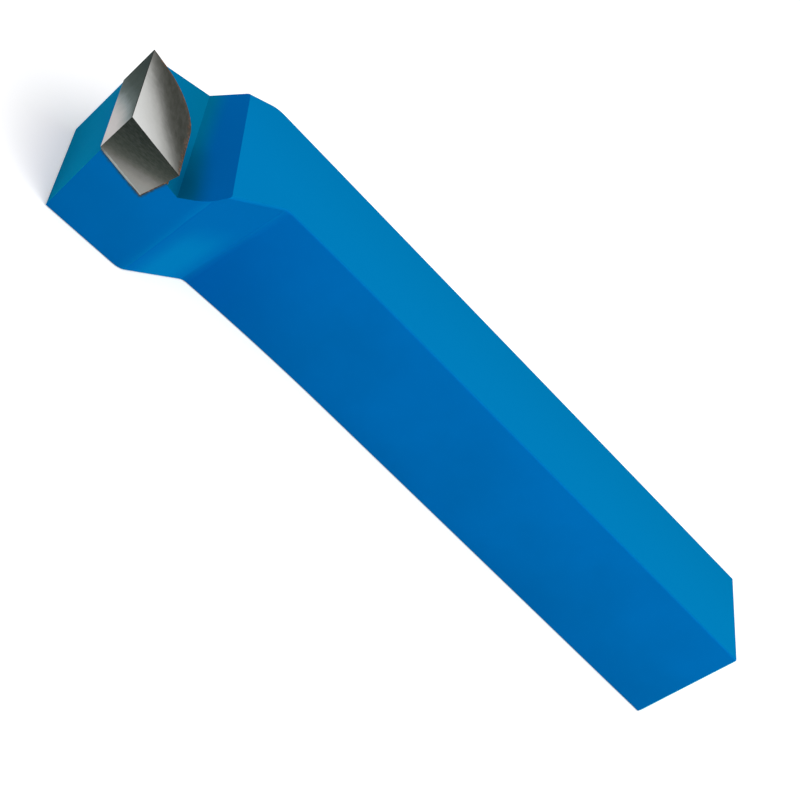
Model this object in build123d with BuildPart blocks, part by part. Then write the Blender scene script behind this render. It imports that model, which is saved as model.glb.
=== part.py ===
from build123d import *

import os
from math import cos, radians, tan

# Right-hand offset facing tool with a brazed carbide tip, in millimetres.
# +X runs along the shank to the cutting head, +Y to the side that the head is set over to, +Z up.
# The origin is on the underside of the shank, on its middle plane, half way along the tool.

# Shank: a square bar
shank_width = 16.0
shank_height = 16.0
overall_length = 110.0  # from the back end to the main cutting edge
edge_radius = 0.3  # along the edges of the bar and of the forged head
back_chamfer = 0.5  # round the sawn back end

# Head: the end of the bar, forged over to the left
nose_overhang = 10.65  # how far the nose stands out from the shank's left side
left_bend_back = 23.2  # from the cutting edge back to where the left side bends out
left_bend_angle = 43.0
left_inner_radius = 2.0  # hollow of the bend
left_outer_radius = 3.0  # back of the bend
swell_length = 24.0  # before the bend, where the forging has pressed the left side out
swell_top = 0.45  # how far it is pressed out at the bend, at the top and at the bottom
swell_bottom = 1.15
right_taper_back = 17.8  # from the cutting edge back to where the right side draws in
right_bend_radius = 4.0
forging_stock = 3.0  # metal left in front and at the left, which the flanks are cut from

# Flanks below the cutting edges, in degrees
tip_front_clearance = 6.0
holder_front_clearance = 7.5  # more than the tip's, so that only the tip is ground again
side_clearance = 2.0
side_relief = 4.0  # the side edge draws in towards the shank

# Rake face, which is the top of the tip, in degrees
rake_angle = 9.4  # falls from the main cutting edge towards the shank
edge_inclination = 2.0  # falls from the nose towards the right

# Carbide tip: a plate with one rounded corner
tip_width = 15.6  # across the tool, which is the length of the main cutting edge
tip_length = 8.7  # along the tool
tip_thickness = 5.3
tip_corner_radius = 6.0
tip_stand_out = 0.15  # how far the ground tip stands out of the flanks of the holder, at the top

# Land behind the tip, and the shoulder that runs from its foot up to the top of the shank
land_behind_tip = 1.6  # from the tip's back to the foot, on the shank's middle plane
tip_proud = 0.75  # how far the plane of the rake face lies above the foot, on the same plane
land_angle = 9.3
shoulder_angle = 40.0
land_fall = 2.2  # in degrees, down towards the left
land_skew = 1.0  # in degrees, back towards the left
foot_radius = 1.5

# Brazed joint
braze_gap = 0.15  # thickness of the filler under and behind the tip

# Places worked out from the sizes above
back_x = -overall_length / 2
front_x = overall_length / 2
left_y = shank_width / 2
right_y = -shank_width / 2
nose = Vector(front_x, left_y + nose_overhang, shank_height)
tip_right_y = nose.Y - tip_width * cos(radians(edge_inclination))
tip_back_x = front_x - tip_length * cos(radians(rake_angle))
bend_x = front_x - left_bend_back
taper_x = front_x - right_taper_back
taper_slope = (tip_right_y - right_y) / right_taper_back
bend_run = 1 / tan(radians(left_bend_angle))
stock_x = front_x + forging_stock
stock_y = nose.Y + forging_stock
rake_slope = tan(radians(rake_angle))
inclination_slope = tan(radians(edge_inclination))
relief_slope = tan(radians(side_relief))
across = 2 * (shank_width + nose_overhang)  # more than the head's width, for cuts right across it

# Plane of the rake face, with its origin at the nose, and the two flanks that meet it there
rake_plane = Plane(origin=nose, x_dir=(1, 0, rake_slope), z_dir=(-rake_slope, -inclination_slope, 1))
tip_front = Plane(origin=nose, x_dir=(0, 1, 0), z_dir=(1, 0, -tan(radians(tip_front_clearance))))
tip_side = Plane(
    origin=nose,
    x_dir=(1, relief_slope, 0),
    z_dir=(-relief_slope, 1, -tan(radians(side_clearance))),
)

# Flanks of the holder, a little inside the tip's
holder_front = Plane(
    origin=nose - Vector(tip_stand_out, 0, 0),
    x_dir=(0, 1, 0),
    z_dir=(1, 0, -tan(radians(holder_front_clearance))),
)
holder_side = tip_side.offset(-tip_stand_out)

# Foot of the shoulder on the shank's middle plane
foot_x = tip_back_x - land_behind_tip
foot_z = nose.Z + rake_slope * (foot_x - nose.X) - inclination_slope * nose.Y - tip_proud
foot_plane = Plane(
    origin=(foot_x, 0, foot_z),
    x_dir=(1, 0, 0),
    z_dir=(tan(radians(land_skew)), -1, tan(radians(land_fall))),
)


def forged_plan(height, swell):
    """The bar and its head in plan at a height, with the left side pressed out towards the bend."""
    hollow = (bend_x + swell * bend_run, left_y + swell)
    swell_start = (bend_x - swell_length, left_y)
    with BuildSketch(Plane.XY.offset(height)) as plan:
        with BuildLine():
            Polyline(
                swell_start,
                (back_x, left_y),
                (back_x, right_y),
                (taper_x, right_y),
                (stock_x, right_y + taper_slope * (stock_x - taper_x)),
                (stock_x, stock_y),
                (bend_x + (stock_y - left_y) * bend_run, stock_y),
                hollow,
            )
            TangentArc(swell_start, hollow, tangent=(1, 0))
        make_face()
    return plan.sketch


def tip_plate(thickness, gap):
    """The tip's plan on the rake plane, grown by a gap at the back and right, and made a plate below it."""
    with BuildSketch(rake_plane) as plan:
        with BuildLine():
            Polyline(
                (forging_stock, -tip_width - gap),
                (-tip_length - gap, -tip_width - gap),
                (-tip_length - gap, forging_stock),
                (forging_stock, forging_stock),
                close=True,
            )
        make_face()
        back_right = plan.vertices().sort_by(Axis.X)[:2].sort_by(Axis.Y)[0]
        fillet(back_right, tip_corner_radius + gap)
    extrude(plan.sketch, amount=-thickness)


def cut_front(flank):
    """Cuts a front flank, and everything before it goes."""
    split(bisect_by=flank, keep=Keep.BOTTOM)


def cut_side(flank):
    """Cuts a side flank, over the length of the head only."""
    with BuildSketch(flank) as waste:
        Rectangle(2 * left_bend_back, 4 * shank_height)
    extrude(waste.sketch, amount=across, mode=Mode.SUBTRACT)


def steep(edge):
    return abs(edge.tangent_at(0.5).Z) > 0.8


# Holder: the bar with its forged head, flanks, land and shoulder, before the seat is milled
with BuildPart() as holder:
    loft([forged_plan(0, swell_bottom), forged_plan(shank_height, swell_top)], ruled=True)
    fillet(holder.edges().filter_by(steep).sort_by_distance((bend_x, left_y, 0))[0], left_inner_radius)
    fillet(holder.edges().filter_by(steep).sort_by_distance((taper_x, right_y, 0))[0], right_bend_radius)
    cut_front(holder_front)
    cut_side(holder_side)
    # On the left the last steep edge is under the nose, and the one before it is the back of the bend
    left_edges = holder.edges().filter_by(lambda e: steep(e) and e.center().Y > left_y)
    fillet(left_edges.sort_by(Axis.X)[-2], left_outer_radius)
    chamfer(holder.faces().sort_by(Axis.X)[0].edges(), back_chamfer)
    rims = holder.faces().sort_by(Axis.Z)[0].edges() + holder.faces().sort_by(Axis.Z)[-1].edges()
    fillet(rims.filter_by(lambda e: e.center().X > back_x + 2 * back_chamfer), edge_radius)
    with BuildSketch(foot_plane) as milled:
        land_run = front_x - foot_x + forging_stock
        with BuildLine():
            Polyline(
                (0, 0),
                (land_run, land_run * tan(radians(land_angle))),
                (land_run, shank_height),
                (-shank_height / tan(radians(shoulder_angle)), shank_height),
                close=True,
            )
        make_face()
        fillet(milled.vertices().sort_by_distance(foot_plane.origin)[0], foot_radius)
    extrude(amount=across, both=True, mode=Mode.SUBTRACT)

# Seat: what is milled out of the head for the tip and its filler
with BuildPart() as seat:
    tip_plate(tip_thickness + braze_gap, braze_gap)

# Carbide tip, ground flush with its own flanks, a little outside the holder's
with BuildPart() as carbide_tip:
    tip_plate(tip_thickness, 0)
    cut_front(tip_front)
    cut_side(tip_side)

# Shank: the holder with its seat
with BuildPart() as shank:
    add(holder.part)
    add(seat.part, mode=Mode.SUBTRACT)

# Filler that has run between the tip and its seat
with BuildPart() as braze_seam:
    add(holder.part)
    add(seat.part, mode=Mode.INTERSECT)
    add(carbide_tip.part, mode=Mode.SUBTRACT)

os.makedirs("parts", exist_ok=True)
shank.part.label = "shank"
carbide_tip.part.label = "carbide_tip"
braze_seam.part.label = "braze_seam"
export_step(shank.part, "parts/shank.step")
export_step(carbide_tip.part, "parts/carbide_tip.step")
export_step(braze_seam.part, "parts/braze_seam.step")
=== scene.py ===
"""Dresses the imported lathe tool: blue enamel on the shank, a ground tip and the braze that holds it."""
from math import cos, pi, radians, sin

import bmesh
import bpy
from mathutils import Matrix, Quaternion, Vector
from mathutils.bvhtree import BVHTree


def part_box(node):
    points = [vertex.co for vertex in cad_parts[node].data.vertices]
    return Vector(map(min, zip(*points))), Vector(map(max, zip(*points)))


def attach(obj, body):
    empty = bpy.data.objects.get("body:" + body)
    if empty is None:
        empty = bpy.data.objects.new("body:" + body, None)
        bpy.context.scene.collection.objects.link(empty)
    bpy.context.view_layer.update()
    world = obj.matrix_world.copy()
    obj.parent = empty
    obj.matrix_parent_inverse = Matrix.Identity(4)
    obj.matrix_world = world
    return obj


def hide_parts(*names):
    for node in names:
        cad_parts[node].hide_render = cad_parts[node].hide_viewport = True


bl_info = {
    "name": "Brazed Lathe Tool",
    "version": (1, 0, 0),
    "blender": (4, 5, 0),
    "location": "View3D > Sidebar > Lathe Tool",
    "description": "Builds the finishes, the braze bead and the stage of a brazed carbide lathe tool",
    "category": "Object",
}

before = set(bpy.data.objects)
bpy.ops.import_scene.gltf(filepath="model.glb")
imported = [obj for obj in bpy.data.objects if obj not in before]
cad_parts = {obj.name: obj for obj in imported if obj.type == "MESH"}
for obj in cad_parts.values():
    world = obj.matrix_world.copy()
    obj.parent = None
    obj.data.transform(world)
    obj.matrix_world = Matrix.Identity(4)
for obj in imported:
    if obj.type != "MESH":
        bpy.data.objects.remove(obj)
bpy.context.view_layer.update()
MM = 0.001
SHANK_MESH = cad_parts["shank"].data
TIP_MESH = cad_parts["carbide_tip"].data

# The rake face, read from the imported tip: its highest corner is the nose, where both cutting edges start
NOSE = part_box("carbide_tip")[1]
RAKE_OUT = max(TIP_MESH.polygons, key=lambda face: face.normal.z).normal.normalized()
RAKE_ALONG = Vector((1, 0, -RAKE_OUT.x / RAKE_OUT.z)).normalized()
RAKE_ACROSS = RAKE_OUT.cross(RAKE_ALONG)


def tip_reach(direction):
    """How far the tip reaches from its nose against a direction, in millimetres."""
    return -min((point.co - NOSE).dot(direction) for point in TIP_MESH.vertices) / MM


TIP_LENGTH = tip_reach(RAKE_ALONG)
TIP_WIDTH = tip_reach(RAKE_ACROSS)
TIP_THICKNESS = tip_reach(RAKE_OUT)


def foot_at(across, rays=401):
    """The foot of the shoulder at a distance from the middle plane: the lowest point behind the tip."""
    points = [point.co for point in SHANK_MESH.vertices]
    tree = BVHTree.FromPolygons(points, [face.vertices for face in SHANK_MESH.polygons])
    back, front = (NOSE.x - length * MM for length in (2 * TIP_LENGTH, TIP_LENGTH + 0.5))
    starts = [Vector((back + (front - back) * ray / (rays - 1), across, 2 * NOSE.z)) for ray in range(rays)]
    hits = [tree.ray_cast(start, Vector((0, 0, -1)))[0] for start in starts]
    return min((hit for hit in hits if hit is not None), key=lambda hit: hit.z)


# The foot of the shoulder on the middle plane and near the left side, the level direction that leads back
# from it, and the way the shoulder faces
FOOT = foot_at(0)
FOOT_LEFT = foot_at(NOSE.y - 3.6 * MM)
FOOT_BACK = Vector((0, 0, 1)).cross(FOOT_LEFT - FOOT).normalized()
SHOULDER_OUT = max(
    (face for face in SHANK_MESH.polygons if min(face.normal.x, face.normal.z) > 0.5),
    key=lambda face: face.area,
).normal.normalized()

# The upright face in the bend of the left side: without its fillet it would leave the shank's side at this
# place, in millimetres, and it turns away from that side by this angle
BEND_PLACE = Vector((31.8, 8, 0))
BEND_TURN = radians(43)
BEND_ALONG = Vector((cos(BEND_TURN), sin(BEND_TURN), 0))
BEND_OUT = Vector((-sin(BEND_TURN), cos(BEND_TURN), 0))


class PaintSettings(bpy.types.PropertyGroup):
    colour: bpy.props.FloatVectorProperty(
        name="Colour", description="Enamel on the shank", subtype="COLOR",
        default=(0.0, 0.145, 0.472), min=0, max=1,
    )
    # Painted light: the lighter enamel of the upper face
    top_light: bpy.props.FloatVectorProperty(
        name="Faded", description="Enamel on the upper face", subtype="COLOR",
        default=(0.0, 0.170, 0.468), min=0, max=1,
    )
    scorched: bpy.props.FloatVectorProperty(
        name="Scorched", description="Enamel browned by the heat beside the tip", subtype="COLOR",
        default=(0.02, 0.055, 0.05), min=0, max=1,
    )
    # A darker teal for the land behind the tip and the lower part of the shoulder
    land_tone: bpy.props.FloatVectorProperty(
        name="Thin", description="Enamel where it is thin, on the land behind the tip", subtype="COLOR",
        default=(0.0, 0.13, 0.285), min=0, max=1,
    )
    # Painted shade at the foot of the shoulder, in the crease behind the tip
    foot_shade: bpy.props.FloatVectorProperty(
        name="Sooted", description="Enamel dulled by the flame at the foot of the shoulder", subtype="COLOR",
        default=(0.0, 0.056, 0.155), min=0, max=1,
    )
    # Painted shade: the darker enamel of the shoulder, the front and the bend
    face_shade: bpy.props.FloatVectorProperty(
        name="Thick", description="Enamel where it is thick, in the bend and on the shoulder",
        subtype="COLOR", default=(0.0, 0.09, 0.445), min=0, max=1,
    )
    sheen: bpy.props.FloatVectorProperty(
        name="Sheen", description="Colour of the enamel's sheen at a low angle", subtype="COLOR",
        default=(0.0, 1.0, 1.0), min=0, max=1,
    )
    roughness: bpy.props.FloatProperty(
        name="Roughness", description="Roughness of the enamel", default=0.42, min=0, max=1,
    )
    peel: bpy.props.FloatProperty(
        name="Orange peel", description="Height of the fine waves in the enamel",
        default=0.006 * MM, unit="LENGTH", precision=6,
    )
    edge: bpy.props.FloatProperty(
        name="Edge", description="How far the enamel rounds the milled edges",
        default=0.1 * MM, unit="LENGTH", precision=5,
    )


class TipSettings(bpy.types.PropertyGroup):
    corner_radius: bpy.props.FloatProperty(
        name="Corner radius", description="Rounded back corner of the tip in its plan",
        default=6 * MM, unit="LENGTH", precision=5,
    )
    hone: bpy.props.FloatProperty(
        name="Hone", description="Width of the broken edge round the tip",
        default=0.09 * MM, unit="LENGTH", precision=5,
    )
    roughness: bpy.props.FloatProperty(
        name="Roughness", description="Roughness of the ground faces", default=0.45, min=0, max=1,
    )
    scratch: bpy.props.FloatProperty(
        name="Scratch depth", description="Depth of the wheel's marks",
        default=0.004 * MM, unit="LENGTH", precision=6,
    )


class BrazeSettings(bpy.types.PropertyGroup):
    bead: bpy.props.FloatProperty(
        name="Bead", description="Radius of the bead behind the tip",
        default=0.22 * MM, unit="LENGTH", precision=5,
    )
    unevenness: bpy.props.FloatProperty(
        name="Unevenness", description="Share of the bead's radius that comes and goes",
        default=0.45, min=0, max=0.9,
    )
    colour: bpy.props.FloatVectorProperty(
        name="Colour", description="Clean filler metal", subtype="COLOR",
        default=(0.37, 0.19, 0.10), min=0, max=1,
    )
    oxide: bpy.props.FloatVectorProperty(
        name="Oxide", description="Filler darkened by the flame", subtype="COLOR",
        default=(0.06, 0.042, 0.03), min=0, max=1,
    )


class StageSettings(bpy.types.PropertyGroup):
    camera_place: bpy.props.FloatVectorProperty(
        name="Camera place", description="Where the camera stands", subtype="TRANSLATION",
        default=(0.1147, 0.21849, 0.12695), precision=5,
    )
    camera_aim: bpy.props.FloatVectorProperty(
        name="Camera aim", description="The point in the middle of the picture", subtype="TRANSLATION",
        default=(0.00362, 0.00733, 0.008), precision=5,
    )
    camera_roll: bpy.props.FloatProperty(
        name="Camera roll", description="Turn of the camera about its view", subtype="ANGLE",
        default=radians(57.84),
    )
    lens: bpy.props.FloatProperty(
        name="Lens", description="Focal length for a sensor 36 mm wide", subtype="DISTANCE_CAMERA",
        default=99.59,
    )
    floor_colour: bpy.props.FloatVectorProperty(
        name="Floor colour", description="Pale floor under the tool", subtype="COLOR",
        default=(0.8, 0.8, 0.8), min=0, max=1,
    )
    ambient: bpy.props.FloatProperty(
        name="Ambient", description="Even light from all round", default=0.32, min=0,
    )


def shade(colour, share):
    """A colour with each channel multiplied by a share."""
    return tuple(channel * share for channel in colour)


class Wire:
    """A socket that sums and comparisons can be written with: each adds its Math node."""

    def __init__(self, tree, socket):
        self.tree = tree
        self.socket = socket

    def math(self, operation, *values):
        return self.tree.node("ShaderNodeMath", {"operation": operation}, dict(enumerate(values)))

    def __add__(self, other):
        return self.math("ADD", self, other)

    def __sub__(self, other):
        return self.math("SUBTRACT", self, other)

    def __rsub__(self, other):
        return self.math("SUBTRACT", other, self)

    def __mul__(self, other):
        return self.math("MULTIPLY", self, other)

    def __neg__(self):
        return self * -1

    def larger(self, other):
        return self.math("MAXIMUM", self, other)

    def smaller(self, other):
        return self.math("MINIMUM", self, other)

    def length_with(self, other):
        squares = self * self + other * other
        return squares.math("SQRT", squares)

    def rise(self, low, high):
        """A smooth step from 0 at low to 1 at high."""
        return self.tree.node(
            "ShaderNodeMapRange", {"interpolation_type": "SMOOTHSTEP"},
            {"Value": self, "From Min": low, "From Max": high},
        )

    __radd__ = __add__
    __rmul__ = __mul__


class Tree:
    """A node tree, of a material or of a modifier, that nodes are added to by one method."""

    def __init__(self, tree):
        self.tree = tree

    def node(self, kind, settings=None, inputs=None, output=0):
        """Adds a node, makes its settings, then links or sets its inputs, and gives one of its outputs."""
        made = self.tree.nodes.new(kind)
        for name, value in (settings or {}).items():
            if name == "stops":
                self.set_stops(made.color_ramp, value)
            else:
                setattr(made, name, value)
        for key, value in (inputs or {}).items():
            if isinstance(value, Wire):
                self.tree.links.new(value.socket, made.inputs[key])
            else:
                made.inputs[key].default_value = value
        return Wire(self, made.outputs[output]) if made.outputs else made

    def set_stops(self, ramp, stops):
        """Gives a colour ramp its stops, each a place from 0 to 1 and a colour."""
        while len(ramp.elements) < len(stops):
            ramp.elements.new(1)
        for element, (place, colour) in zip(ramp.elements, stops):
            element.position = place
            element.color = (*colour, 1)

    def mix(self, factor, first, second):
        """Mixes two colours, each a tuple, a colour property or a wire."""
        first, second = (c if isinstance(c, Wire) else (*c, 1) for c in (first, second))
        return self.node(
            "ShaderNodeMix", {"data_type": "RGBA"}, {"Factor": factor, 6: first, 7: second}, output=2,
        )

    def tones(self, measure, *stops):
        """Colours along a measure, each stop being a value of the measure and the colour there."""
        low, high = stops[0][0], stops[-1][0]
        places = [((value - low) / (high - low), colour) for value, colour in stops]
        share = (measure - low) * (1 / (high - low))
        return self.node("ShaderNodeValToRGB", {"stops": places}, {0: share})

    def noise(self, place, scale, detail=2.0, roughness=0.5):
        return self.node(
            "ShaderNodeTexNoise", {"noise_dimensions": "3D"},
            {"Vector": place, "Scale": scale, "Detail": detail, "Roughness": roughness},
        )

    def stretch(self, place, factors):
        """Places scaled by a factor along each axis."""
        return self.node("ShaderNodeVectorMath", {"operation": "MULTIPLY"}, {0: place, 1: factors})

    def along(self, place, direction):
        """The share of a place that lies along a direction."""
        return self.node(
            "ShaderNodeVectorMath", {"operation": "DOT_PRODUCT"}, {0: place, 1: direction}, output="Value",
        )

    def distance(self, place):
        """How far a place lies from the point that it is measured from."""
        return self.node("ShaderNodeVectorMath", {"operation": "LENGTH"}, {0: place}, output="Value")


class Finish(Tree):
    """A material made of nodes. It knows which way a face looks and where a place lies, in millimetres: from
    the tool's origin, and back, right and down from the nose, along and square to the rake face."""

    def __init__(self, name):
        self.material = bpy.data.materials.new(name)
        self.material.use_nodes = True
        super().__init__(self.material.node_tree)
        self.tree.nodes.clear()
        self.facing = self.node("ShaderNodeTexCoord", output="Normal")
        self.place = self.stretch(self.node("ShaderNodeTexCoord", output="Object"), (1 / MM,) * 3)
        from_nose = self.from_point(NOSE / MM)
        self.back = -self.along(from_nose, RAKE_ALONG)
        self.right = -self.along(from_nose, RAKE_ACROSS)
        self.down = -self.along(from_nose, RAKE_OUT)

    def from_point(self, point):
        """Places from a point, both in millimetres."""
        return self.node("ShaderNodeVectorMath", {"operation": "SUBTRACT"}, {0: self.place, 1: point})

    def beyond_tip(self, corner_radius):
        """How far a place lies outside the tip's plan, below 0 inside it, in millimetres."""
        past_back = self.back - (TIP_LENGTH - corner_radius)
        past_right = self.right - (TIP_WIDTH - corner_radius)
        rounded = past_back.larger(0).length_with(past_right.larger(0))
        return rounded + past_back.larger(past_right).smaller(0) - corner_radius

    def surface(self, inputs):
        """Ends the tree in one shader."""
        shader = self.node("ShaderNodeBsdfPrincipled", inputs=inputs)
        self.node("ShaderNodeOutputMaterial", inputs={"Surface": shader})
        return self.material

    def bumps(self, *layers):
        """A normal from layers of height, each a wire and its depth in metres."""
        normal = None
        for height, depth in layers:
            inputs = {"Height": height, "Distance": depth, "Strength": 1.0}
            if normal is not None:
                inputs["Normal"] = normal
            normal = self.node("ShaderNodeBump", inputs=inputs)
        return normal


def blue_enamel(paint, tip):
    """Thin satin enamel: fine orange peel over slow forging waves, browned by the flame, with painted light and
    shade on its faces and a painted highlight on the bend.
    """
    finish = Finish("blue_enamel")
    slow = finish.noise(finish.place, 0.09, detail=3)
    peel = finish.noise(finish.place, 1.6, detail=2)
    grain = finish.noise(finish.place, 7.0, detail=2)
    height = finish.along(finish.place, (0, 0, 1))
    across = finish.along(finish.place, (0, 1, 0))
    facing_up = finish.along(finish.facing, (0, 0, 1))

    # It is uneven at random over the whole tool and has painted shade lower down, most of all on the left side
    # before the bend
    uneven = (slow * 0.5 + height * 0.02).rise(0.1, 0.68)
    base = finish.mix(uneven, shade(paint.colour, 0.87), shade(paint.colour, 1.10))
    past_bend = finish.along(finish.from_point(BEND_PLACE), (1, 0, 0))
    before_bend_shade = past_bend.rise(-17, 0) * (1 - past_bend.rise(2, 8)) * (0.36 - height.rise(3, 15) * 0.2)
    base = finish.mix(before_bend_shade, base, shade(paint.face_shade, 0.85))

    # Painted light: the upper face is lighter, most along the left edge
    top = finish.mix(across.rise(-10, 6), shade(paint.top_light, 0.92), paint.top_light)
    base = finish.mix(facing_up.rise(0.35, 0.75), base, top)

    # Painted shade darkens the shoulder, the front and the upright face of the bend, but for a painted
    # highlight low on that face. The chamfer at the back end faces the same way as the bend and is left out.
    outward = finish.along(finish.from_point(BEND_PLACE), BEND_ALONG) + (slow - 0.5) * 3
    low = 1 - (height + (slow - 0.5) * 3).rise(5.5, 11.5)
    bend_highlight = outward.rise(1.0, 6.0) * (1 - outward.rise(8.5, 12.5)) * low
    bend = finish.along(finish.facing, BEND_OUT).rise(0.99, 0.999) * past_bend.rise(-6, -4)
    base = finish.mix(bend, base, finish.mix(bend_highlight, paint.face_shade, shade(paint.colour, 1.07)))
    shoulder = finish.along(finish.facing, SHOULDER_OUT).rise(0.86, 0.99) * 0.8
    front = finish.along(finish.facing, (1, 0, 0)).rise(0.85, 0.97)
    base = finish.mix(shoulder.larger(front), base, shade(paint.face_shade, 0.82))

    # The land and the lower part of the shoulder take a darker teal
    upward = facing_up.rise(0.3, 0.6)
    past_foot = finish.along(finish.from_point(FOOT / MM), FOOT_BACK)
    land = upward * (1 - past_foot.rise(0.1, 2.0)) * finish.back.rise(TIP_LENGTH - 12, TIP_LENGTH + 1.5)
    base = finish.mix(land, base, paint.land_tone)

    # Painted shade lies along the foot of the shoulder, darkest at the left behind the tip. It reaches 3.5 mm
    # along the tool, 12 mm across it and 3.2 mm up.
    from_foot_shade = finish.from_point(FOOT_LEFT / MM + FOOT_BACK * 0.8)
    spread = finish.distance(finish.stretch(from_foot_shade, (1 / 3.5, 1 / 12, 1 / 3.2)))
    foot_shade_area = (1 - (spread + (slow - 0.5) * 0.4).rise(0.0, 1.0)) * upward
    base = finish.mix(foot_shade_area, base, paint.foot_shade)

    # A ragged brown ring round the brazed sides of the tip
    beyond = finish.beyond_tip(tip.corner_radius / MM).larger(0)
    under = (finish.down - TIP_THICKNESS).larger(0)
    ragged = beyond.length_with(under) + (finish.noise(finish.place, 2.2, detail=3) - 0.5) * 0.5
    base = finish.mix((1 - ragged.rise(0.12, 0.55)) * 0.8, base, paint.scorched)
    rough = (peel - 0.5) * 0.12 + (slow - 0.5) * 0.1 + foot_shade_area * 0.2 + paint.roughness
    return finish.surface({
        "Base Color": base, "Roughness": rough, "Specular IOR Level": 0.0003,
        "Sheen Weight": 0.55, "Sheen Roughness": 0.4, "Sheen Tint": (*paint.sheen, 1),
        "Normal": finish.bumps((slow, 0.05 * MM), (peel, paint.peel), (grain, paint.peel * 0.15)),
    })


# Tones of the ground carbide on its three open faces, partly painted reflection and shade and partly heat tint:
# values of each face's measure, and the colours there
RAKE_TONES = (
    (-0.35, (0.038, 0.040, 0.033)),
    (-0.20, (0.050, 0.052, 0.044)),
    (-0.08, (0.088, 0.090, 0.081)),
    (0.05, (0.170, 0.172, 0.161)),
    (0.20, (0.330, 0.332, 0.318)),
    (0.40, (0.485, 0.488, 0.474)),
    (0.62, (0.580, 0.585, 0.572)),
    (0.90, (0.655, 0.665, 0.655)),
)
FRONT_TONES = (
    (-5.5, (0.008, 0.026, 0.024)),
    (-3.5, (0.028, 0.050, 0.043)),
    (-2.1, (0.048, 0.074, 0.066)),
    (-0.75, (0.118, 0.158, 0.152)),
    (0.1, (0.276, 0.326, 0.330)),
    (1.0, (0.500, 0.510, 0.500)),
    (1.9, (0.665, 0.638, 0.628)),
    (3.2, (0.730, 0.695, 0.685)),
)
SIDE_TONES = (
    (1.8, (0.022, 0.030, 0.025)),
    (3.0, (0.030, 0.039, 0.032)),
    (4.1, (0.038, 0.048, 0.039)),
    (5.3, (0.074, 0.083, 0.071)),
    (6.0, (0.130, 0.134, 0.118)),
    (6.5, (0.198, 0.198, 0.184)),
    (7.4, (0.284, 0.280, 0.258)),
    (8.4, (0.318, 0.322, 0.304)),
)


def ground_carbide(tip):
    """Wheel-ground carbide whose tones are partly painted reflection and shade: pale at the cutting edges, and
    darker towards the brazed back, partly by heat.
    """
    finish = Finish("ground_carbide")
    cloud = finish.noise(finish.place, 0.55, detail=4, roughness=0.55) - 0.5
    mottle = finish.noise(finish.place, 2.4, detail=3, roughness=0.6) - 0.5
    drawn_out = finish.stretch(finish.place, (1.0, 0.35, 3.5))
    streaks = finish.noise(drawn_out, 1.6, detail=4, roughness=0.6) - 0.5
    on_rake = finish.along(finish.facing, RAKE_OUT).rise(0.8, 0.95)
    on_front = finish.along(finish.facing, (1, 0, 0)).rise(0.75, 0.9)

    # Painted reflection and heat tint: the rake face darkens past the line that joins the far ends of the two
    # cutting edges
    share = 1 - finish.back * (1 / TIP_LENGTH) - finish.right * (1.06 / TIP_WIDTH)
    rake_tone = finish.tones(share + cloud * 0.14 + mottle * 0.06, *RAKE_TONES)

    # Painted reflection and shade: the front flank is dark at the far end and pale at the foot below the nose
    foot = finish.down - finish.right * 0.4 + cloud * 0.8 + mottle * 0.4
    foot = foot + finish.right.rise(0.5, 4.5) * 0.5 - finish.right.rise(9, 12) * 0.5 - 0.5
    front_tone = finish.tones(foot, *FRONT_TONES)

    # Painted reflection and shade: the side flank is dark along the cutting edge and pale at its lower back
    # corner
    heel = finish.down * 1.05 + finish.back * 0.42 + cloud * 0.7 + mottle * 0.4
    side_tone = finish.tones(heel, *SIDE_TONES)
    tone = finish.mix(on_front, side_tone, front_tone)

    # Painted highlights and shade where the edges are broken: a light line along the foot of the side flank,
    # and along the cutting edges a dark line on the flanks and a light one on the rake face
    depth = finish.down + mottle * 0.2
    low = depth.rise(TIP_THICKNESS - 0.22, TIP_THICKNESS - 0.1)
    tone = finish.mix(low * finish.back.rise(1.5, 3.5), tone, (0.40, 0.44, 0.43))
    high = 1 - depth.rise(0.05, 0.2)
    tone = finish.mix(high * 0.8, tone, (0.020, 0.024, 0.020))
    rake_edge_highlight = 1 - finish.back.smaller(finish.right).rise(0.08, 0.2)
    rake_tone = finish.mix(rake_edge_highlight * 0.3, rake_tone, (0.72, 0.74, 0.72))
    tone = finish.mix(on_rake, tone, rake_tone)

    # A brown stain along the brazed back
    inside = -finish.beyond_tip(tip.corner_radius / MM)
    stain = (1 - (inside + cloud * 3.0).rise(0.05, 0.7)) * on_rake
    copper = finish.mix((mottle + cloud).rise(-0.1, 0.2), (0.055, 0.045, 0.034), (0.26, 0.10, 0.045))
    tone = finish.mix(stain * 0.8, tone, copper)
    shine = finish.mix(streaks.rise(-0.25, 0.3) * 0.05, tone, (0.55, 0.55, 0.53))
    bright = finish.node("ShaderNodeRGBToBW", inputs={0: tone})
    return finish.surface({
        "Base Color": shine, "Roughness": streaks * 0.3 + tip.roughness,
        "Metallic": bright.rise(0.02, 0.4) * 0.2, "Specular IOR Level": 0.004,
        "Normal": finish.bumps((streaks, tip.scratch), (cloud, 0.01 * MM)),
    })


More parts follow.
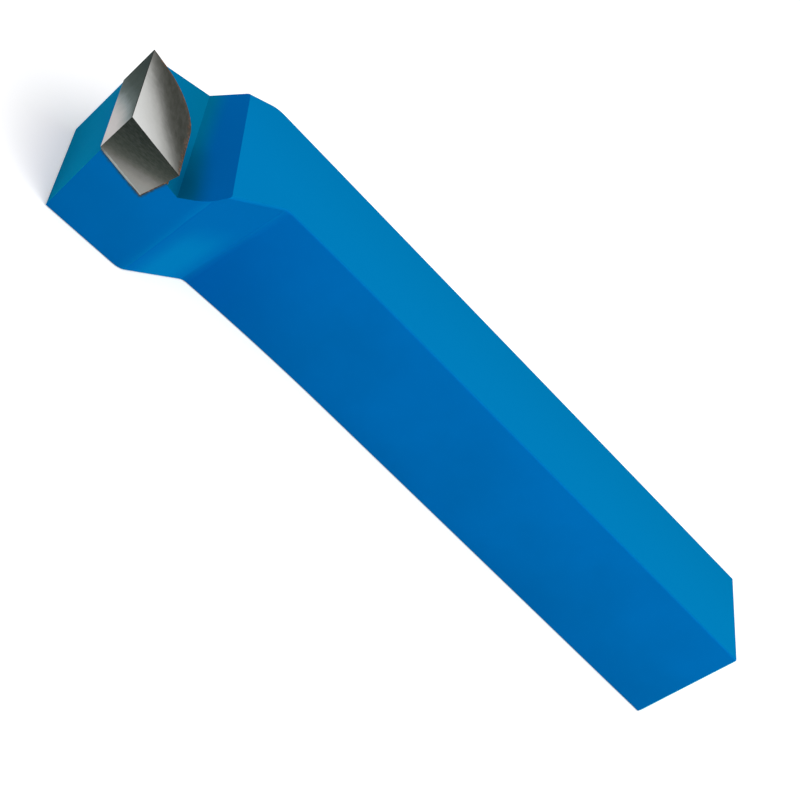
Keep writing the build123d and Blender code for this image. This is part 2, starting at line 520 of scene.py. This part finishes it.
def brazing_filler(braze):
    """Copper-coloured filler, pale where it is ground with the side flank, and browned elsewhere."""
    finish = Finish("brazing_filler")
    blotches = finish.noise(finish.place, 1.3, detail=4, roughness=0.6)
    pits = finish.noise(finish.place, 9.0, detail=2)
    base = finish.mix(blotches.rise(0.46, 0.72), braze.oxide, braze.colour)
    on_front = finish.along(finish.facing, (1, 0, 0))
    on_flank = on_front.larger(finish.along(finish.facing, (0, 1, 0))).rise(0.9, 0.97)
    length = finish.back.rise(0.5, 4.0) * (1 - finish.back.rise(TIP_LENGTH - 2.5, TIP_LENGTH - 0.6))
    base = finish.mix(on_flank * length * 0.8, base, (0.40, 0.43, 0.40))
    return finish.surface({
        "Base Color": base, "Roughness": (blotches - 0.5) * -0.5 + 0.45, "Metallic": 0.6,
        "Specular IOR Level": 0.2,
        "Normal": finish.bumps((pits, 0.01 * MM), (blotches, 0.04 * MM)),
    })


def new_piece(name, mesh, *materials):
    """A finished piece: its object at the origin, riding on the tool's one body."""
    for material in materials:
        mesh.materials.append(material)
    piece = bpy.data.objects.new(name, mesh)
    bpy.context.scene.collection.objects.link(piece)
    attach(piece, "root")
    return piece


# Points of a CAD mesh this near each other are one, faces that turn by less than this are one flat, and an
# edge is sharp that turns by more than this
WELD = 0.0005 * MM
FLAT_TURN = radians(0.2)
SHARP_TURN = radians(34)


def edged_copy(node, name, width, material):
    """A piece with the form of a CAD node, its sharp edges broken by a width. It stands for the node."""
    work = bmesh.new()
    work.from_mesh(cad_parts[node].data)
    bmesh.ops.remove_doubles(work, verts=work.verts[:], dist=WELD)
    bmesh.ops.dissolve_limit(work, angle_limit=FLAT_TURN, verts=work.verts[:], edges=work.edges[:])
    work.verts.index_update()
    mesh = bpy.data.meshes.new(name)
    mesh.from_pydata([v.co for v in work.verts], [], [[v.index for v in f.verts] for f in work.faces])
    work.free()
    mesh.shade_smooth()
    piece = new_piece(name, mesh, material)
    edges = piece.modifiers.new("broken_edges", "BEVEL")
    edges.width = width
    edges.segments = 2
    edges.limit_method = "ANGLE"
    edges.angle_limit = SHARP_TURN
    flats = piece.modifiers.new("flat_faces", "WEIGHTED_NORMAL")
    flats.weight = 100
    flats.keep_sharp = True
    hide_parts(node)


# The bead runs this far outside the tip's plan, starts this far from the side flank, has its points this far
# apart and drops at most this deep to the holder. Its swells are noise of this scale, and it never gets
# thinner than this share of its radius.
BEAD_OUTSIDE = 0.2 * MM
BEAD_START = 1.1 * MM
BEAD_STEP = 0.12 * MM
BEAD_DROP = 4 * MM
SWELL_SCALE = 900.0
THINNEST = 0.15


def bead_path(corner_radius, steps=12):
    """Points round the tip's back and right sides, a little outside its plan, level with its rake face."""
    back, right = -TIP_LENGTH * MM, -TIP_WIDTH * MM
    radius = corner_radius + BEAD_OUTSIDE
    turns = [pi / 2 * step / steps for step in range(steps + 1)]
    plan = [(back - BEAD_OUTSIDE, -BEAD_START)]
    plan += [(back + corner_radius - radius * cos(t), right + corner_radius - radius * sin(t)) for t in turns]
    plan += [(0, right - BEAD_OUTSIDE)]
    return [NOSE + RAKE_ALONG * along + RAKE_ACROSS * across for along, across in plan]


def poly_line(name, points):
    """A curve that runs straight from point to point."""
    curve = bpy.data.curves.new(name, "CURVE")
    curve.dimensions = "3D"
    line = curve.splines.new("POLY")
    line.points.add(len(points) - 1)
    for point, place in zip(line.points, points):
        point.co = (*place, 1)
    carrier = bpy.data.objects.new(name, curve)
    bpy.context.scene.collection.objects.link(carrier)
    return carrier


def bead_nodes(holder, material):
    """Geometry nodes that lay a path down on the holder and make it a tube of uneven thickness."""
    group = bpy.data.node_groups.new("braze_bead", "GeometryNodeTree")
    face = group.interface
    face.new_socket("Geometry", in_out="INPUT", socket_type="NodeSocketGeometry")
    for name in ("Radius", "Unevenness"):
        face.new_socket(name, in_out="INPUT", socket_type="NodeSocketFloat")
    face.new_socket("Geometry", in_out="OUTPUT", socket_type="NodeSocketGeometry")
    tree = Tree(group)
    given = group.nodes.new("NodeGroupInput")
    path, radius, uneven = (Wire(tree, given.outputs[name]) for name in ("Geometry", "Radius", "Unevenness"))
    path = tree.node("GeometryNodeResampleCurve", {"mode": "LENGTH"}, {"Curve": path, "Length": BEAD_STEP})
    target = tree.node(
        "GeometryNodeObjectInfo", {"transform_space": "RELATIVE"}, {"Object": holder}, output="Geometry",
    )
    place = tree.node("GeometryNodeInputPosition")
    seat = tree.node("GeometryNodeRaycast", inputs={
        "Target Geometry": target, "Source Position": place,
        "Ray Direction": -RAKE_OUT, "Ray Length": BEAD_DROP,
    }, output="Hit Position")
    landed = Wire(tree, seat.socket.node.outputs["Is Hit"])
    missed = tree.node("FunctionNodeBooleanMath", {"operation": "NOT"}, {0: landed})
    path = tree.node(
        "GeometryNodeDeleteGeometry", {"domain": "POINT"}, {"Geometry": path, "Selection": missed},
    )
    path = tree.node("GeometryNodeSetPosition", inputs={"Geometry": path, "Position": seat})
    swell = tree.noise(tree.node("GeometryNodeInputPosition"), SWELL_SCALE, detail=3, roughness=0.6)
    share = 1 + (swell - 0.5) * 4 * uneven
    path = tree.node("GeometryNodeSetCurveRadius", inputs={"Curve": path, "Radius": share.larger(THINNEST)})
    section = tree.node("GeometryNodeCurvePrimitiveCircle", inputs={"Resolution": 12, "Radius": radius})
    tube = tree.node("GeometryNodeCurveToMesh", inputs={
        "Curve": path, "Profile Curve": section, "Fill Caps": True,
    })
    tube = tree.node("GeometryNodeSetShadeSmooth", inputs={"Geometry": tube})
    tube = tree.node("GeometryNodeRealizeInstances", inputs={"Geometry": tube})
    tube = tree.node("GeometryNodeSetMaterial", inputs={"Geometry": tube, "Material": material})
    tree.node("NodeGroupOutput", inputs={"Geometry": tube})
    return group


def plain_mesh(carrier, name):
    """The mesh that an object's modifiers make. The object goes."""
    depsgraph = bpy.context.evaluated_depsgraph_get()
    mesh = bpy.data.meshes.new_from_object(carrier.evaluated_get(depsgraph), depsgraph=depsgraph)
    mesh.name = name
    bpy.data.objects.remove(carrier)
    return mesh


class LATHETOOL_OT_paint_shank(bpy.types.Operator):
    """Paints the shank"""
    bl_idname = "lathetool.paint_shank"
    bl_label = "Paint the shank"

    def execute(self, context):
        paint = context.scene.lathetool_paint
        material = blue_enamel(paint, context.scene.lathetool_tip)
        edged_copy("shank", "painted_shank", paint.edge, material)
        return {"FINISHED"}


class LATHETOOL_OT_grind_tip(bpy.types.Operator):
    """Grinds the carbide tip"""
    bl_idname = "lathetool.grind_tip"
    bl_label = "Grind the tip"

    def execute(self, context):
        tip = context.scene.lathetool_tip
        edged_copy("carbide_tip", "ground_tip", tip.hone, ground_carbide(tip))
        return {"FINISHED"}


class LATHETOOL_OT_run_braze(bpy.types.Operator):
    """Runs the filler into the joint and round the back of the tip"""
    bl_idname = "lathetool.run_braze"
    bl_label = "Run the braze"

    def execute(self, context):
        braze = context.scene.lathetool_braze
        material = brazing_filler(braze)
        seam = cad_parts["braze_seam"]
        seam.data.materials.clear()
        seam.data.materials.append(material)
        carrier = poly_line("bead_path", bead_path(context.scene.lathetool_tip.corner_radius))
        group = bead_nodes(bpy.data.objects["painted_shank"], material)
        modifier = carrier.modifiers.new("bead", "NODES")
        modifier.node_group = group
        values = {"Radius": braze.bead, "Unevenness": braze.unevenness}
        for item in group.interface.items_tree:
            if item.name in values:
                modifier[item.identifier] = values[item.name]
        bead = new_piece("braze_bead", plain_mesh(carrier, "braze_bead"))
        return {"FINISHED"}


# Each lamp: a name, the side it stands on, the width of its panel in metres and its power in watts
LAMPS = [
    ("key_left", (-0.16, 0.35, 0.85), 0.8, 5.1),
    ("fill_front", (0.2, 0.0, 0.12), 0.5, 0.5),
]
LAMP_DISTANCE = 0.7
FLOOR_HALF_WIDTH = 4.0
FLOOR_LEVEL = -0.02 * MM
NEAREST_SEEN = 0.01
WHITE = (1, 1, 1, 1)


def add_lamp(name, side, width, power):
    """A square white panel that faces the tool."""
    data = bpy.data.lights.new(name, "AREA")
    data.shape = "SQUARE"
    data.size = width
    data.energy = power
    lamp = bpy.data.objects.new(name, data)
    direction = Vector(side).normalized()
    lamp.location = direction * LAMP_DISTANCE
    lamp.rotation_mode = "QUATERNION"
    lamp.rotation_quaternion = direction.to_track_quat("Z", "Y")
    bpy.context.scene.collection.objects.link(lamp)


def seen_directly(tree):
    """1 for rays from the camera and for those that a shiny or clear surface sends on, and 0 for light."""
    rays = tree.tree.nodes.new("ShaderNodeLightPath")
    names = ("Is Camera Ray", "Is Glossy Ray", "Is Transmission Ray")
    camera, glossy, transmission = (Wire(tree, rays.outputs[name]) for name in names)
    return camera.larger(glossy).larger(transmission)


def pale_floor(colour):
    """A floor that shows near white, all the way to its horizon, and keeps the tool's shadow."""
    material = bpy.data.materials.new("pale_floor")
    material.use_nodes = True
    tree = Tree(material.node_tree)
    tree.tree.nodes.clear()
    plain = tree.node("ShaderNodeBsdfDiffuse", inputs={"Color": (*colour, 1)})
    place = tree.node("ShaderNodeTexCoord", output="Object")
    strength = seen_directly(tree) * (tree.distance(place).rise(0.2, 0.8) * 0.45 + 0.35)
    glow = tree.node("ShaderNodeEmission", inputs={"Color": WHITE, "Strength": strength})
    both = tree.node("ShaderNodeAddShader", inputs={0: plain, 1: glow})
    tree.node("ShaderNodeOutputMaterial", inputs={"Surface": both})
    return material


def add_floor(colour):
    """The pale floor, a hair under the tool."""
    mesh = bpy.data.meshes.new("floor")
    half = FLOOR_HALF_WIDTH
    plan = ((-half, -half), (half, -half), (half, half), (-half, half))
    mesh.from_pydata([(*corner, FLOOR_LEVEL) for corner in plan], [], [(0, 1, 2, 3)])
    mesh.materials.append(pale_floor(colour))
    floor = bpy.data.objects.new("floor", mesh)
    bpy.context.scene.collection.objects.link(floor)


def add_surroundings(ambient):
    """White all round where it is seen, and even light of a set strength on the tool."""
    world = bpy.data.worlds.new("studio")
    world.use_nodes = True
    bpy.context.scene.world = world
    tree = Tree(world.node_tree)
    tree.tree.nodes.clear()
    strength = seen_directly(tree) * (1 - ambient) + ambient
    background = tree.node("ShaderNodeBackground", inputs={"Color": WHITE, "Strength": strength})
    tree.node("ShaderNodeOutputWorld", inputs={"Surface": background})


def add_camera(stage):
    """The camera, turned about its view so that the tool lies as in the picture."""
    data = bpy.data.cameras.new("camera")
    data.lens = stage.lens
    data.clip_start = NEAREST_SEEN
    camera = bpy.data.objects.new("camera", data)
    camera.location = stage.camera_place
    view = Vector(stage.camera_aim) - Vector(stage.camera_place)
    roll = Quaternion((0, 0, 1), stage.camera_roll)
    camera.rotation_mode = "QUATERNION"
    camera.rotation_quaternion = view.to_track_quat("-Z", "Y") @ roll
    bpy.context.scene.collection.objects.link(camera)
    bpy.context.scene.camera = camera


class LATHETOOL_OT_set_stage(bpy.types.Operator):
    """Sets the floor, the light and the camera"""
    bl_idname = "lathetool.set_stage"
    bl_label = "Set the stage"

    def execute(self, context):
        stage = context.scene.lathetool_stage
        add_floor(stage.floor_colour)
        for lamp in LAMPS:
            add_lamp(*lamp)
        add_surroundings(stage.ambient)
        add_camera(stage)
        context.scene.view_settings.view_transform = "Standard"
        return {"FINISHED"}


class LATHETOOL_PT_panel(bpy.types.Panel):
    """Lists the tool's settings and the steps that build it"""
    bl_label = "Lathe Tool"
    bl_idname = "LATHETOOL_PT_panel"
    bl_space_type = "VIEW_3D"
    bl_region_type = "UI"
    bl_category = "Lathe Tool"

    def draw(self, context):
        for name, (group, operator) in STEPS.items():
            box = self.layout.box()
            settings = getattr(context.scene, name)
            for field in group.__annotations__:
                box.prop(settings, field)
            box.operator(operator.bl_idname)


STEPS = {
    "lathetool_paint": (PaintSettings, LATHETOOL_OT_paint_shank),
    "lathetool_tip": (TipSettings, LATHETOOL_OT_grind_tip),
    "lathetool_braze": (BrazeSettings, LATHETOOL_OT_run_braze),
    "lathetool_stage": (StageSettings, LATHETOOL_OT_set_stage),
}


def register():
    for name, (group, operator) in STEPS.items():
        bpy.utils.register_class(group)
        bpy.utils.register_class(operator)
        setattr(bpy.types.Scene, name, bpy.props.PointerProperty(type=group))
    bpy.utils.register_class(LATHETOOL_PT_panel)


def unregister():
    bpy.utils.unregister_class(LATHETOOL_PT_panel)
    for name, (group, operator) in reversed(STEPS.items()):
        delattr(bpy.types.Scene, name)
        bpy.utils.unregister_class(operator)
        bpy.utils.unregister_class(group)


def main():
    register()
    bpy.ops.lathetool.paint_shank()
    bpy.ops.lathetool.grind_tip()
    bpy.ops.lathetool.run_braze()
    bpy.ops.lathetool.set_stage()


if __name__ == "__main__":
    main()
